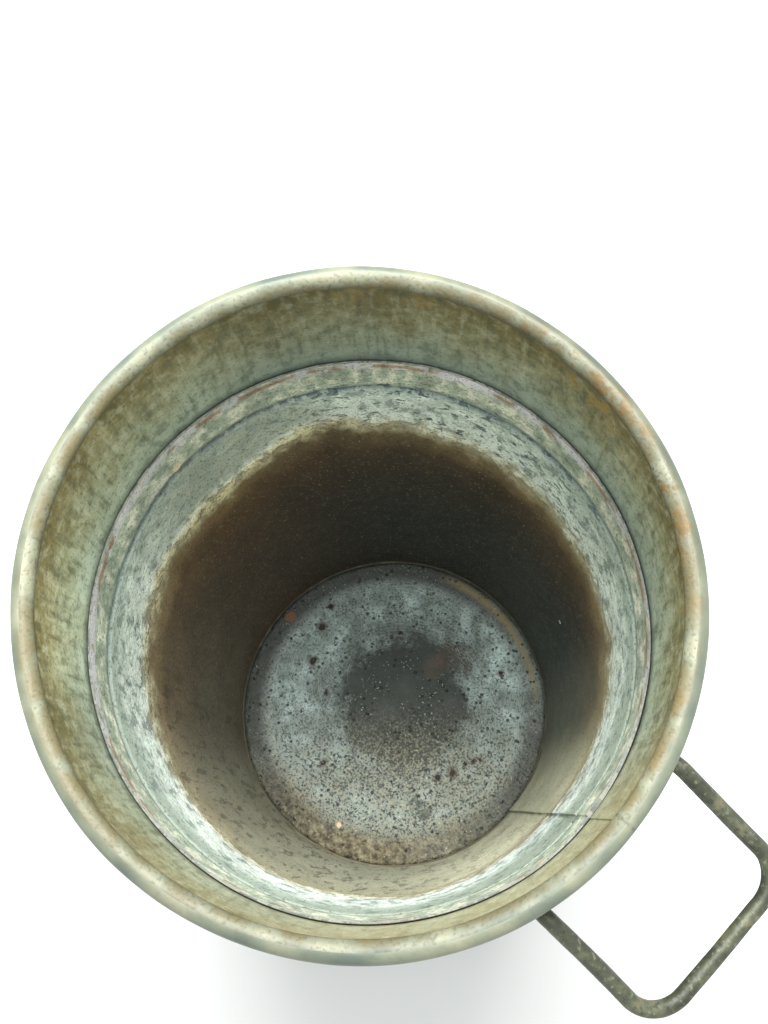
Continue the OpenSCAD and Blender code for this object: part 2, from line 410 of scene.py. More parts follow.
def build_clip_solder(name, node, side, material):
    """Bed of solder under a clip, swelling out round its edges and thinning to a ragged edge."""
    centre = side * root_angle()
    mid_z = (CLIP_TOP + CLIP_LOW) / 2
    half_w = CLIP_W / 2 + 1.5 * MM
    half_h = (CLIP_TOP - CLIP_LOW) / 2 + 1.5 * MM
    columns = []
    for s in steps(-1, 1, 0.04):
        front, back = [], []
        for t in steps(-1, 1, 0.035):
            ragged = 1 + 0.05 * wander(13 + side, s * 5, t * 5)
            x, y = s * half_w * ragged, t * half_h * ragged
            out = max(abs(s), abs(t))
            height = SOLDER_T * (1 - smooth(0.93, 1, out)) * (1 + 0.9 * smooth(0.8, 0.88, out))
            bulge = 1 + 0.25 * wander(15, x / MM * 0.6, y / MM * 0.6)
            z = mid_z + y
            angle = centre + x / wall_r(z)
            front.append(wall_point(angle, COLLAR_OUTSIDE + height * bulge, z))
            back.append(wall_point(angle, COLLAR_OUTSIDE - 0.2 * MM, z))
        columns.append(front + back[::-1])
    mesh = skin(name, columns, ring=False)
    return finish_mesh(name, mesh, [material], [node])


# ---- Handle ----

def build_clip(name, node, side, material):
    """Sheet clip with rounded corners: two ears on the solder and a hump over the wire."""
    centre = side * root_angle()
    hump_r = HANDLE_WIRE_R + 2 * FIT_GAP + SHEET / 2
    hump_out = LEG_OFFSET - COLLAR_OUTSIDE - SOLDER_T
    ear = COLLAR_OUTSIDE + SOLDER_T + SHEET / 2
    valley = 1.4 * MM

    def lift(x):
        """Height of the sheet's middle above the ears at a distance round from the wire."""
        over = hump_r * hump_r - x * x
        dome = hump_out - SHEET / 2 + math.sqrt(over) if over > 0 else 0.0
        foot = hump_r + valley - abs(x)
        flare = 0.6 * MM * max(0.0, foot / valley) ** 2 if abs(x) > hump_r else 0.6 * MM
        return max(dome, flare)

    hump_end = hump_r + valley
    ear_steps = steps(-CLIP_W / 2, -hump_end, 0.8 * MM) + steps(hump_end, CLIP_W / 2, 0.8 * MM)
    xs = sorted(set(ear_steps + steps(-hump_end, hump_end, 0.18 * MM)))
    corner = 2.5 * MM
    mid_z, half_h = (CLIP_TOP + CLIP_LOW) / 2, (CLIP_TOP - CLIP_LOW) / 2
    columns = []
    for x in xs:
        into = max(0.0, abs(x) - (CLIP_W / 2 - corner))
        reach = half_h - (corner - math.sqrt(max(0.0, corner ** 2 - into ** 2)))
        reach += 0.12 * MM * wander(20 + side, x / MM * 0.35)
        front, back = [], []
        for t in steps(-1, 1, 0.05):
            z = mid_z + t * reach
            angle = centre + x / wall_r(z)
            bend = 0.15 * MM * wander(22, x / MM * 0.2, t * 2)
            mid = ear + lift(x) + max(0.0, bend) * smooth(4 * MM, 9 * MM, abs(x))
            front.append(wall_point(angle, mid + SHEET / 2, z))
            back.append(wall_point(angle, mid - SHEET / 2, z))
        columns.append(front + back[::-1])
    mesh = skin(name, columns, ring=False)
    piece = finish_mesh(name, mesh, [material], [node])
    edge = piece.modifiers.new("worn_edges", "BEVEL")
    edge.width = 0.12 * MM
    edge.segments = 2
    edge.limit_method = "ANGLE"
    edge.angle_limit = math.radians(50)
    return piece


def rounded_path(corners, radii, size):
    """Points along a bent wire's middle, through its corners with a bend radius at each inner one."""
    path = [corners[0]]
    for before, corner, after, r in zip(corners, corners[1:], corners[2:], radii):
        into, out = (corner - before).normalized(), (after - corner).normalized()
        turn = into.angle(out)
        cut = r * math.tan(turn / 2)
        start = corner - into * cut
        path += [path[-1].lerp(start, t) for t in steps(0, 1, size / (start - path[-1]).length)[1:]]
        axis = into.cross(out).normalized()
        centre = start + axis.cross(into) * r
        path += [
            centre + Quaternion(axis, a) @ (start - centre) for a in steps(0, turn, size / r / 2)[1:]
        ]
    path += [
        path[-1].lerp(corners[-1], t) for t in steps(0, 1, size / (corners[-1] - path[-1]).length)[1:]
    ]
    return path


def build_handle(material):
    """Handle wire: legs under the clips, bent out at the roots and round the grip, a little uneven."""
    root_z = RIM_Z - HANDLE_DEPTH
    bar_x = handle_high.x - HANDLE_WIRE_R
    bar_z = root_z - HANDLE_OUT * math.sin(HANDLE_DROOP)
    leg_z = CLIP_LOW + 1 * MM
    half = BAR_Y - HANDLE_WIRE_R
    feet = [wall_point(s * root_angle(), LEG_OFFSET, leg_z) for s in (1, -1)]
    roots = [wall_point(s * root_angle(), LEG_OFFSET, root_z) for s in (1, -1)]
    ends = [Vector((bar_x - 0.3 * MM, s * half, bar_z)) for s in (1, -1)]
    corners = [feet[0], roots[0], ends[0], ends[1], roots[1], feet[1]]
    path = rounded_path(corners, [ROOT_R, CORNER_R, CORNER_R, ROOT_R], 1.2 * MM)
    for i, point in enumerate(path):
        drift = Vector((wander(30, i * 0.06), wander(31, i * 0.06), wander(32, i * 0.06)))
        free = smooth(roots[0].x + 3 * MM, roots[0].x + 12 * MM, point.x)
        path[i] = point + drift * 0.35 * MM * free
    columns = []
    across = Vector((0, 0, 1)).cross(path[1] - path[0]).normalized()
    for i, point in enumerate(path):
        along = (path[min(i + 1, len(path) - 1)] - path[max(i - 1, 0)]).normalized()
        across = (across - along * across.dot(along)).normalized()
        side = along.cross(across)
        ring = []
        for j in range(24):
            turn = TURN * j / 24
            pitted = 0.06 * wander(33, math.cos(turn) * 1.4, math.sin(turn) * 1.4, i * 0.3)
            r = HANDLE_WIRE_R * (0.97 + pitted * 0.5)
            ring.append(point + (across * math.cos(turn) + side * math.sin(turn)) * r)
        columns.append(ring)
    mesh = skin("handle_loop_wire", columns, ring=False)
    return finish_mesh("handle_loop_wire", mesh, [material], ["handle_wire"])


# ---- Material helper ----

def linear(r, g, b):
    """Display colour, 0 to 255, as a linear RGBA value."""
    def channel(c):
        c /= 255
        return c / 12.92 if c <= 0.04045 else ((c + 0.055) / 1.055) ** 2.4
    return (channel(r), channel(g), channel(b), 1.0)


class Field:
    """A node's output, which adds, subtracts, multiplies and divides as a number does."""

    def __init__(self, paint, socket):
        self.paint = paint
        self.socket = socket

    def __add__(self, other):
        return self.paint.math("ADD", self, other)

    def __sub__(self, other):
        return self.paint.math("SUBTRACT", self, other)

    def __rsub__(self, other):
        return self.paint.math("SUBTRACT", other, self)

    def __mul__(self, other):
        return self.paint.math("MULTIPLY", self, other)

    def __truediv__(self, other):
        return self.paint.math("DIVIDE", self, other)


class Paint:
    """The nodes of one material, keyed on the object's own position in millimetres."""

    def __init__(self, name, metallic):
        self.material = bpy.data.materials.new(name)
        self.material.use_nodes = True
        self.tree = self.material.node_tree
        self.shader = self.tree.nodes["Principled BSDF"]
        self.shader.inputs["Metallic"].default_value = metallic
        self.place = self.vector("MULTIPLY", self.node("TexCoord", "Object"), (1 / MM, 1 / MM, 1 / MM))
        self.x, self.y, self.z = (self.node("SeparateXYZ", axis, Vector=self.place) for axis in "XYZ")
        self.turn = self.math("ARCTAN2", self.y, self.x) * (1 / TURN) + 0.5
        self.radius = self.distance(0, 0)
        self.facing_up = self.node("SeparateXYZ", "Z", Vector=self.node("TexCoord", "Normal"))

    def feed(self, socket, value):
        """Links a field to a socket, or sets the socket's own value."""
        if isinstance(value, Field):
            self.tree.links.new(value.socket, socket)
        else:
            socket.default_value = value

    def node(self, kind, output, settings=(), numbered=(), **named):
        """One output of a new node, its inputs fed by number or by name."""
        made = self.tree.nodes.new("ShaderNode" + kind)
        for setting, value in dict(settings).items():
            setattr(made, setting, value)
        for socket, value in [*dict(numbered).items(), *named.items()]:
            self.feed(made.inputs[socket], value)
        return Field(self, made.outputs[output])

    def math(self, operation, first, second=0.0):
        return self.node("Math", 0, {"operation": operation}, {0: first, 1: second})

    def vector(self, operation, *operands):
        return self.node("VectorMath", 0, {"operation": operation}, enumerate(operands))

    def distance(self, x, y):
        """How far the shaded point is from an upright line at x, y."""
        across, up = self.x - x, self.y - y
        return self.math("SQRT", across * across + up * up)

    def sized(self, size, stretch, seed):
        """The position in units of size millimetres, drawn out by stretch and moved by a seed."""
        scale = tuple(1 / (size * s) for s in stretch)
        return self.vector("MULTIPLY_ADD", self.place, scale, (seed * 3.7, seed * 1.9, seed * 5.3))

    def noise(self, size, stretch=(1, 1, 1), detail=2.0, rough=0.55, seed=0):
        """Cloudy noise with features of about size millimetres."""
        place = self.sized(size, stretch, seed)
        return self.node("TexNoise", "Fac", Scale=1.0, Detail=detail, Roughness=rough, Vector=place)

    def cells(self, size, stretch=(1, 1, 1), seed=0):
        """Distance in a scatter of cells of about size millimetres."""
        return self.node("TexVoronoi", "Distance", Scale=1.0, Vector=self.sized(size, stretch, seed))

    def rise(self, value, low, high):
        """Smooth mask: 0 at low, 1 at high. low may be the larger."""
        ends = {"From Min": min(low, high), "From Max": max(low, high), "To Min": float(low > high),
                "To Max": float(low < high)}
        return self.node("MapRange", "Result", {"interpolation_type": "SMOOTHSTEP"}, ends, Value=value)

    def band(self, value, middle, width):
        """Mask that is 1 at middle and falls to 0 a width away."""
        return self.rise(self.math("ABSOLUTE", value - middle), width, 0)

    def ramp(self, value, stops, ease="LINEAR"):
        """Colour or grey along a value from 0 to 1, from stops of position and shade."""
        made = self.node("ValToRGB", "Color", Fac=value)
        ramp = made.socket.node.color_ramp
        ramp.interpolation = ease
        while len(ramp.elements) < len(stops):
            ramp.elements.new(0.5)
        for element, (position, shade) in zip(ramp.elements, stops):
            element.position = position
            element.color = linear(*shade) if isinstance(shade, tuple) else (shade, shade, shade, 1)
        return made

    def by_turn(self, stops, low=0, high=1):
        """A number that changes round the axis, from stops of degrees and value, low to high."""
        greys = [((degrees + 180) / 360, (value - low) / (high - low)) for degrees, value in stops]
        return self.ramp(self.turn, greys, "EASE") * (high - low) + low

    def mix(self, share, first, second):
        colours = [linear(*shade) if isinstance(shade, tuple) else shade for shade in (first, second)]
        return self.node("Mix", 2, {"data_type": "RGBA"}, {0: share, 6: colours[0], 7: colours[1]})

    def lay(self, colour, shade, first, *more):
        """Lays a shade over a colour where the product of the masks is high."""
        share = first
        for mask in more:
            share = share * mask
        return self.mix(share, colour, shade)

    def tint(self, colour, amount):
        """Multiplies a colour by a number."""
        return self.node("VectorMath", 0, {"operation": "SCALE"}, {0: colour}, Scale=amount)

    def spot(self, angle, radius, size, wobble):
        """Round mask at an angle in degrees and a radius, its edge moved by wobble millimetres."""
        a = math.radians(angle)
        away = self.distance(radius * math.cos(a), radius * math.sin(a)) + wobble
        return self.rise(away, size, size * 0.55)

    def dab(self, angle, height, radius):
        """Round mark on the vessel's wall, at an angle in degrees and a height in millimetres."""
        middle = wall_point(math.radians(angle), -SHEET, height * MM) / MM
        away = self.node("VectorMath", "Value", {"operation": "DISTANCE"}, {0: self.place, 1: middle})
        return self.rise(away, radius * 1.15, radius * 0.85)

    def finish(self, colour, roughness, height, strength, depth):
        """Feeds the shader: colour, roughness, and a height field whose unit is depth millimetres."""
        bump = self.node("Bump", "Normal", Strength=strength, Distance=depth * MM, Height=height)
        self.feed(self.shader.inputs["Base Color"], colour)
        self.feed(self.shader.inputs["Roughness"], roughness)
        self.feed(self.shader.inputs["Normal"], bump)
        return self.material


# ---- Materials ----

def bead_paint(paint, colour, clouds, grit):
    """Lays the rolled rim over a colour: cream-grey, golden on its inner side, painted lighter or darker
    round the axis, with painted shade in the fillet under it.
    """
    above_neck = paint.z - (RIM_Z - BEAD_R) / MM
    bead = paint.ramp(clouds, [(0.34, (86, 96, 86)), (0.5, (107, 113, 97)), (0.66, (130, 131, 110))])
    inner = paint.rise(paint.radius, RING_R / MM + 0.6, RING_R / MM - 2.4)
    gilded = inner * paint.rise(clouds, 0.62, 0.4)
    bead = paint.lay(bead, (112, 97, 58), gilded, 0.6)
    rust_share = paint.by_turn([
        (-180, 0.1), (-20, 0.1), (30, 0.5), (55, 0.9), (85, 0.8), (110, 0.3), (180, 0.1)
    ])
    scabs = paint.noise(3.5, detail=3, rough=0.6, seed=73)
    rust = paint.rise(scabs, 0.5, 0.58) * inner
    bead = paint.lay(bead, (108, 86, 42), rust, rust_share)
    bead = paint.lay(bead, (78, 78, 60), paint.rise(grit, 0.5, 0.3), 0.15)
    joint = paint.band(paint.y, 2.4, 0.7) * paint.rise(paint.x, 0, 1) * paint.rise(grit, 0.35, 0.55)
    bead = paint.lay(bead, (60, 58, 42), joint, 0.6)
    # Painted light and shade: the rim is made lighter or darker round the axis.
    bead_light_and_shade = paint.by_turn([
        (-180, 1), (-120, 0.95), (-75, 0.8), (-15, 0.85), (20, 1), (60, 0.8), (105, 0.75), (135, 1),
        (180, 1)
    ], 0.7, 1.4)
    bead = paint.tint(bead, bead_light_and_shade)
    colour = paint.lay(colour, bead, paint.rise(above_neck, 0.2, 1.0))
    # Painted shade: a dark band just under the rolled rim, in the fillet under its overhang.
    under = paint.band(above_neck, -0.2, 1.8) * paint.rise(clouds, 0.28, 0.45)
    return paint.lay(colour, (54, 45, 22), under, 0.85)


def outside_material(name, metallic=0.15):
    """Weathered galvanised sheet: faded spangle, streaks, white rust low down, rust specks and grime."""
    paint = Paint(name, metallic)
    clouds = paint.noise(15, (1, 1, 1.6), seed=3)
    streaks = paint.noise(5, (1, 1, 7), detail=3, seed=4)
    grit = paint.noise(1.2, seed=9)
    colour = paint.ramp(clouds, [(0.3, (68, 73, 68)), (0.5, (88, 93, 86)), (0.7, (108, 113, 103))])
    colour = paint.lay(colour, (124, 128, 115), paint.rise(streaks, 0.5, 0.68), 0.4)
    colour = paint.lay(colour, (56, 58, 48), paint.rise(streaks, 0.42, 0.3), 0.5)
    spangle = paint.cells(7, stretch=(1, 1, 1.3), seed=2)
    colour = paint.tint(colour, spangle * 0.28 + 0.84)
    chalk = paint.rise(streaks, 0.48, 0.58) * paint.rise(grit, 0.4, 0.6) * paint.rise(paint.z, 80, 8)
    colour = paint.lay(colour, (140, 143, 134), chalk, 0.6)
    rust = paint.rise(grit, 0.62, 0.7) * paint.rise(clouds, 0.56, 0.66)
    colour = paint.lay(colour, (92, 58, 34), rust, 0.8)
    colour = paint.lay(colour, (52, 52, 42), paint.rise(grit, 0.44, 0.3), 0.4)
    colour = bead_paint(paint, colour, clouds, grit)
    roughness = clouds * 0.35 + 0.32
    return paint.finish(colour, roughness, grit * 0.4 + streaks, 0.5, 0.3)


# How high the dark tide line stands inside: degrees round from the handle, millimetres up
TIDE = [
    (-180, 125), (-155, 127), (-130, 121), (-100, 117), (-70, 117), (-40, 113), (-12, 104), (1, 102),
    (3, 112), (20, 113), (42, 121), (70, 121), (100, 127), (125, 130), (150, 133), (168, 128),
    (180, 125)
]


def stain_zinc_and_painted_light(paint, clouds, crust):
    """Colour by height above the ragged tide line, with painted light on the near side and painted light
    and shade round the stained wall. Returns it, that height and the stain's mask.
    """
    ragged = (clouds - 0.5) * 16 + (crust - 0.5) * 9
    above = paint.z - paint.by_turn(TIDE, 90, 145) + ragged
    colour = paint.ramp((above + 60) / 100, [
        (0.0, (50, 55, 53)), (0.25, (56, 53, 46)), (0.46, (84, 67, 48)), (0.56, (134, 116, 82)),
        (0.64, (190, 186, 162)), (0.71, (222, 232, 226)), (0.8, (210, 222, 214)),
        (0.87, (180, 194, 184)), (1.0, (158, 170, 156))
    ])
    brown = paint.rise(above, 3, -7)
    warm = paint.by_turn([
        (-180, 0.8), (-140, 0.9), (-100, 0.6), (-60, 0.1), (60, 0), (130, 0.2), (160, 0.7), (180, 0.8)
    ])
    colour = paint.lay(colour, (104, 70, 38), warm, brown, 0.4)
    # Painted light: the stained wall is made much lighter on the near side.
    near = paint.by_turn([
        (-180, 0), (-130, 0.12), (-100, 0.45), (-70, 0.9), (-15, 1), (12, 0.95), (34, 0.2), (60, 0),
        (180, 0)
    ])
    colour = paint.lay(colour, (190, 190, 165), near, brown, 0.9)
    # Painted light and shade: the stained wall is made lighter or darker round the axis.
    wall_light_and_shade = paint.by_turn([
        (-180, 1.0), (-135, 1.1), (-105, 1.1), (-70, 0.78), (-45, 0.9), (-15, 1.3), (15, 1.1),
        (45, 1.1), (75, 1), (105, 0.65), (150, 0.6), (180, 1)
    ], 0.5, 1.5)
    colour = paint.lay(colour, paint.tint(colour, wall_light_and_shade), brown)
    return colour, above, brown


def zinc_marks(paint, colour, clouds, crust, above):
    """Crust and blue-black marks in the zinc band, cream crust and a smooth patch along the tide line."""
    in_band = paint.rise(above, -1, 5) * paint.rise(above, 32, 22)
    colour = paint.lay(colour, (232, 243, 234), paint.rise(crust, 0.49, 0.6), in_band, 0.85)
    colour = paint.lay(colour, (96, 114, 108), paint.rise(crust, 0.48, 0.38), paint.rise(above, 1, 8),
                       0.6)
    flecks = paint.noise(3.4, (1, 1, 0.6), detail=2, rough=0.6, seed=23)
    far = paint.by_turn([
        (-180, 0.4), (-150, 0.3), (-100, 0.1), (0, 0), (50, 0.35), (80, 0.8), (120, 1), (150, 0.9),
        (165, 0.4), (180, 0.4)
    ])
    marks = paint.rise(flecks, 0.44, 0.37) * paint.rise(clouds, 0.38, 0.48)
    marks = marks * paint.rise(above, 3, 8) * far
    colour = paint.lay(colour, (54, 74, 80), marks, 0.85)
    tide_crust = paint.by_turn([
        (-180, 1), (-155, 0.8), (-110, 0.3), (60, 0.15), (130, 0.3), (150, 0.8), (165, 1), (180, 1)
    ])
    cream = paint.band(above, 3, 7) * paint.rise(crust, 0.42, 0.52) * tide_crust
    colour = paint.lay(colour, (222, 210, 168), cream)

    patch = paint.by_turn([(-180, 1), (-166, 0.7), (-150, 0), (138, 0), (152, 0.9), (180, 1)])
    patch = patch * paint.rise(above, 7, 11) * paint.rise(crust, 0.36, 0.46)
    colour = paint.lay(colour, (150, 157, 140), patch, 0.8)
    relief = crust * in_band * 1.6 - marks * 0.6
    return colour, relief + cream


def crease_and_edge(paint, colour, clouds, crust):
    """Painted shade in the swaged ring's crease, pale crust above it, a bright raw edge that is partly a
    painted highlight, with a rust line.
    """
    # Painted shade: the crease is darkened, most on the far side.
    crease = paint.band(paint.z + (clouds - 0.5) * 3, SWAGE_Z / MM + 0.4, 3.4)
    crease_share = paint.by_turn([
        (-180, 0.85), (-120, 0.5), (-60, 0.35), (0, 0.3), (60, 0.6), (90, 1), (150, 1), (180, 0.85)
    ])
    crease = crease * paint.rise(crust, 0.38, 0.5) * crease_share
    colour = paint.lay(colour, (40, 62, 78), crease, 0.95)
    pale = paint.ramp(crust, [(0.36, (138, 150, 134)), (0.5, (172, 182, 164)), (0.62, (220, 220, 200))])
    colour = paint.lay(colour, pale, paint.rise(paint.z, 159.5, 161), 0.9)
    colour = paint.lay(colour, (216, 208, 172), paint.dab(-177.5, 161, 1.7))
    # Painted highlight on a pale bare lip: the raw edge is painted bright, faintly on the near side.
    edge = paint.rise(paint.z, 168.2, 169.8) * paint.rise(clouds, 0.44, 0.52)
    edge_share = paint.by_turn([
        (-180, 0.7), (-130, 1), (-80, 0.2), (0, 0.1), (30, 0.6), (110, 1), (180, 0.7)
    ])
    colour = paint.lay(colour, (206, 204, 212), edge, edge_share, 0.9)
    rusty = paint.band(paint.z, 170.8, 2.0) * paint.rise(clouds, 0.51, 0.45)
    colour = paint.lay(colour, (156, 104, 84), rusty, 0.75)

    # Painted shade: the raw edge itself is darkened where it faces up
    raw = paint.rise(paint.facing_up, 0.25, 0.7) * paint.rise(paint.z, 167.5, 168.5)
    colour = paint.lay(colour, (112, 112, 104), raw, 0.9)
    return colour


def wall_grime_and_seam_shadow(paint, colour, clouds, wisps, grit, brown):
    """Cloudiness, dark wisps down the stained wall, grit, light specks and a painted shadow along the
    seam's raw edge.
    """
    colour = paint.tint(colour, clouds * 0.9 + 0.58)
    wisp_share = paint.by_turn([
        (-180, 0.15), (-150, 0.4), (-120, 0.9), (-60, 1), (-20, 0.6), (20, 0.1), (180, 0.15)
    ])
    colour = paint.lay(colour, (62, 54, 40), paint.rise(wisps, 0.54, 0.62), wisp_share, brown, 0.6)
    colour = paint.lay(colour, (132, 132, 118), paint.rise(grit, 0.6, 0.72), 0.5)
    colour = paint.lay(colour, (30, 29, 24), paint.rise(grit, 0.44, 0.3), 0.5)
    colour = paint.lay(colour, (190, 190, 176), paint.rise(grit, 0.77, 0.8), 0.7)
    colour = paint.lay(colour, (236, 236, 226), paint.dab(63.5, 66, 0.7))

    # Painted shadow: a dark line where the seam's raw edge stands
    seam = paint.band(paint.y, 2.1, 0.7) * paint.rise(paint.x, 0, 1) * paint.rise(clouds, 0.35, 0.45)
    colour = paint.lay(colour, (44, 38, 28), seam, 0.6, paint.rise(paint.z, 160, 130))
    return colour


def body_material():
    """Inside of the body: zinc at the top, a crusted tide line and a dark brown stain below it."""
    paint = Paint("body_patina_and_painted_light", metallic=0.05)
    clouds = paint.noise(14, (1, 1, 1.3), detail=3, seed=11)
    crust = paint.noise(4.2, (1, 1, 1.2), detail=4, rough=0.62, seed=12)
    wisps = paint.noise(3.2, (1, 1, 3.6), detail=3, rough=0.65, seed=21)
    grit = paint.noise(0.9, detail=1, seed=22)

    colour, above, brown = stain_zinc_and_painted_light(paint, clouds, crust)
    colour, relief = zinc_marks(paint, colour, clouds, crust, above)
    colour = crease_and_edge(paint, colour, clouds, crust)
    colour = wall_grime_and_seam_shadow(paint, colour, clouds, wisps, grit, brown)
    height = relief + grit * 0.3
    return paint.finish(colour, crust * 0.35 + 0.42, height, 0.9, 0.6)


def collar_material():
    """Inside of the collar: olive-grey zinc, cloudy streaks, golden stains under the rolled rim, painted
    shade above the body's raw edge and painted light and shade round the axis.
    """
    paint = Paint("collar_patina_and_painted_light", metallic=0.05)
    clouds = paint.noise(9, (1, 1, 1.5), detail=3, seed=31)
    streaks = paint.noise(2.2, (1, 1, 8), detail=3, seed=32)
    blotches = paint.noise(3.6, detail=4, rough=0.62, seed=33)
    grit = paint.noise(0.9, detail=1, seed=40)

    # About 0 under the rim and 1 at the collar's lower edge
    down = (212 - paint.z) / 42 + (clouds - 0.5) * 0.9
    colour = paint.ramp(down, [
        (0.0, (104, 94, 54)), (0.16, (116, 108, 70)), (0.4, (130, 129, 97)), (0.7, (144, 152, 128)),
        (1.0, (156, 168, 150))
    ])
    colour = paint.lay(colour, (184, 188, 164), paint.rise(streaks, 0.52, 0.72), 0.3)
    colour = paint.lay(colour, (76, 78, 54), paint.rise(streaks, 0.48, 0.32), 0.5)
    colour = paint.lay(colour, (176, 182, 160), paint.rise(blotches, 0.48, 0.7), 0.4)
    colour = paint.lay(colour, (76, 82, 66), paint.rise(blotches, 0.5, 0.34), 0.5)
    gold_share = paint.by_turn([
        (-180, 0.3), (-120, 0.3), (20, 0.3), (50, 0.8), (80, 1), (110, 0.7), (180, 0.3)
    ])
    gold = paint.rise(clouds, 0.5, 0.6) * paint.rise(paint.z, 190, 204)
    gold = gold * paint.rise(blotches, 0.42, 0.54) * gold_share
    colour = paint.lay(colour, (140, 114, 50), gold, 0.75)
    # Painted shade in the gap just above the body's raw edge
    colour = paint.lay(colour, (66, 76, 62), paint.rise(paint.z, 176.5, 173.4), 0.6)
    # Painted light and shade: the collar is made lighter or darker round the axis
    side = paint.by_turn([
        (-180, 1.2), (-165, 1.4), (-135, 1.8), (-110, 1.05), (-60, 1.0), (-10, 1.3), (15, 1.05),
        (35, 1.2), (60, 1.15), (100, 1), (150, 0.8), (180, 1.2)
    ], 0.8, 1.8)
    colour = paint.tint(colour, side)
    cool = paint.rise(paint.z, 190, 176) * paint.by_turn([
        (-180, 0.5), (-150, 0.3), (-90, 0), (20, 0), (60, 1), (130, 1), (180, 0.5)
    ])
    colour = paint.lay(colour, (108, 130, 130), cool, 0.32)
    # Painted light: the near side is made lighter and creamier
    cream = paint.by_turn([(-180, 0), (-110, 0), (-75, 0.5), (-45, 1), (5, 1), (25, 0), (180, 0)])
    colour = paint.lay(colour, (176, 166, 132), cream, 0.45)
    colour = bead_paint(paint, colour, clouds, grit)
    colour = paint.lay(colour, (70, 68, 48), paint.rise(grit, 0.44, 0.3), 0.4)
    height = blotches * 0.7 + grit * 0.3
    return paint.finish(colour, blotches * 0.3 + 0.4, height, 0.7, 0.4)


# Marks on the bottom: degrees round from the handle, distance from the middle and size in millimetres
PITS = [
    (-4, 33, 1.5), (-14, 31, 1.2), (10, 36.5, 1.0), (6, 34.6, 0.7), (13, 38.6, 0.7), (-167, 37, 1.6),
    (175, 43, 1.4), (165, 48, 1.2), (-99, 34, 1.2), (-150, 27, 0.8), (62, 44, 0.9), (128, 30, 0.8)
]
SOOT = [(-32, 36, 3.4), (-30, 41.5, 2.8)]


def worn_zinc_and_painted_light(paint, clouds, husk, wobble):
    """Blue-grey zinc round a dark worn middle, painted lighter or darker round the axis. Returns the
    colour and the distance from that middle.
    """
    colour = paint.ramp(clouds, [(0.34, (84, 97, 92)), (0.5, (122, 138, 136)), (0.64, (158, 176, 176))])
    # Painted light and shade: the disc is made lighter or darker round the axis.
    light = paint.by_turn([
        (-180, 1.2), (-100, 1.2), (-60, 1.0), (-20, 1.0), (30, 1.2), (70, 1.6), (105, 1.15), (180, 1.25)
    ], 0.7, 1.7)
    colour = paint.tint(colour, light)
    colour = paint.lay(colour, (150, 160, 152), paint.rise(husk, 0.54, 0.66), 0.4)
    colour = paint.lay(colour, (60, 67, 62), paint.rise(husk, 0.48, 0.36), 0.4)
    away = paint.distance(1, 5) + wobble
    colour = paint.lay(colour, (66, 75, 70), paint.rise(away, 46, 25), 0.7)
    colour = paint.lay(colour, (30, 38, 33), paint.rise(away, 29, 21), 0.93)
    stain = paint.spot(84, 31, 8, wobble * 0.5)
    colour = paint.lay(colour, (52, 42, 31), stain, 0.8)
    colour = paint.lay(colour, (74, 60, 38), paint.spot(88, 22, 5, wobble * 0.4), 0.35)
    return colour, away


def scouring(paint, colour, husk, away):
    """Old scouring scratches, in arcs about two points near the middle."""
    for seed, x, y in ((1, 6, -3), (2, -9, 8)):
        rings = paint.distance(x, y) + seed * 40
        lines = paint.node("TexNoise", "Fac", {"noise_dimensions": "1D"}, Scale=3.0, Detail=2.0, W=rings)
        mask = paint.rise(lines, 0.56, 0.68) * paint.rise(away, 20, 28)
        colour = paint.lay(colour, (166, 178, 174), mask, 0.3)
        mask = paint.rise(lines, 0.42, 0.32) * paint.rise(husk, 0.45, 0.6)
        colour = paint.lay(colour, (54, 60, 56), mask, 0.35)
    return colour


def dirt_rust_and_edge_shade(paint, colour, husk, grains, wobble, small_wobble):
    """Grit on the near half, thick dirt by the wall, and a dark edge that is partly painted shade in the
    corner and partly grit. Returns the colour and the thick dirt's mask.
    """
    near = paint.rise(paint.x * 0.69 + paint.y * -0.72, -8, 34)
    colour = paint.lay(colour, (98, 98, 80), near, 0.35)
    colour = paint.lay(colour, (150, 146, 122), near, paint.rise(grains, 0.48, 0.62), 0.6)
    dark_share = near * 0.25 + 0.65
    colour = paint.lay(colour, (36, 36, 30), dark_share, paint.rise(grains, 0.48, 0.34))
    rim_dirt = paint.rise(paint.radius + wobble * 0.5, 43, 53)
    dirt_share = paint.by_turn([
        (-180, 0.2), (-120, 0.4), (-90, 0.9), (-55, 1), (-25, 0.7), (10, 0.25), (50, 0.1), (180, 0.2)
    ])
    dirt = paint.ramp(husk, [
        (0.36, (44, 36, 24)), (0.46, (84, 72, 47)), (0.56, (110, 101, 77)), (0.68, (142, 136, 110))
    ])
    colour = paint.lay(colour, dirt, rim_dirt, dirt_share, 0.95)
    # Painted shade in the corner by the wall, with grit: the disc's edge is darkened, least on the near
    # side.
    edge = paint.rise(paint.radius + wobble * 0.25, 48, 54)
    edge_share = paint.by_turn([
        (-180, 0.98), (-140, 0.95), (-105, 0.6), (-80, 0.1), (-40, 0.1), (15, 0.8), (60, 0.6), (120, 1),
        (180, 0.98)
    ])
    colour = paint.lay(colour, (34, 35, 29), edge, edge_share, 0.88)
    gold_share = paint.by_turn([(-180, 0), (40, 0), (56, 0.7), (80, 1), (104, 0.8), (116, 0), (180, 0)])
    gold = paint.band(paint.radius, 55.4, 2.8) * paint.rise(husk, 0.3, 0.44) * gold_share
    colour = paint.lay(colour, (128, 118, 82), gold, 0.9)
    colour = paint.lay(colour, (112, 72, 32), paint.spot(-178, 55, 2.2, wobble * 0.3), 0.8)
    colour = paint.lay(colour, (196, 172, 142), paint.spot(-72, 48.4, 1.4, small_wobble))
    return colour, rim_dirt * dirt_share


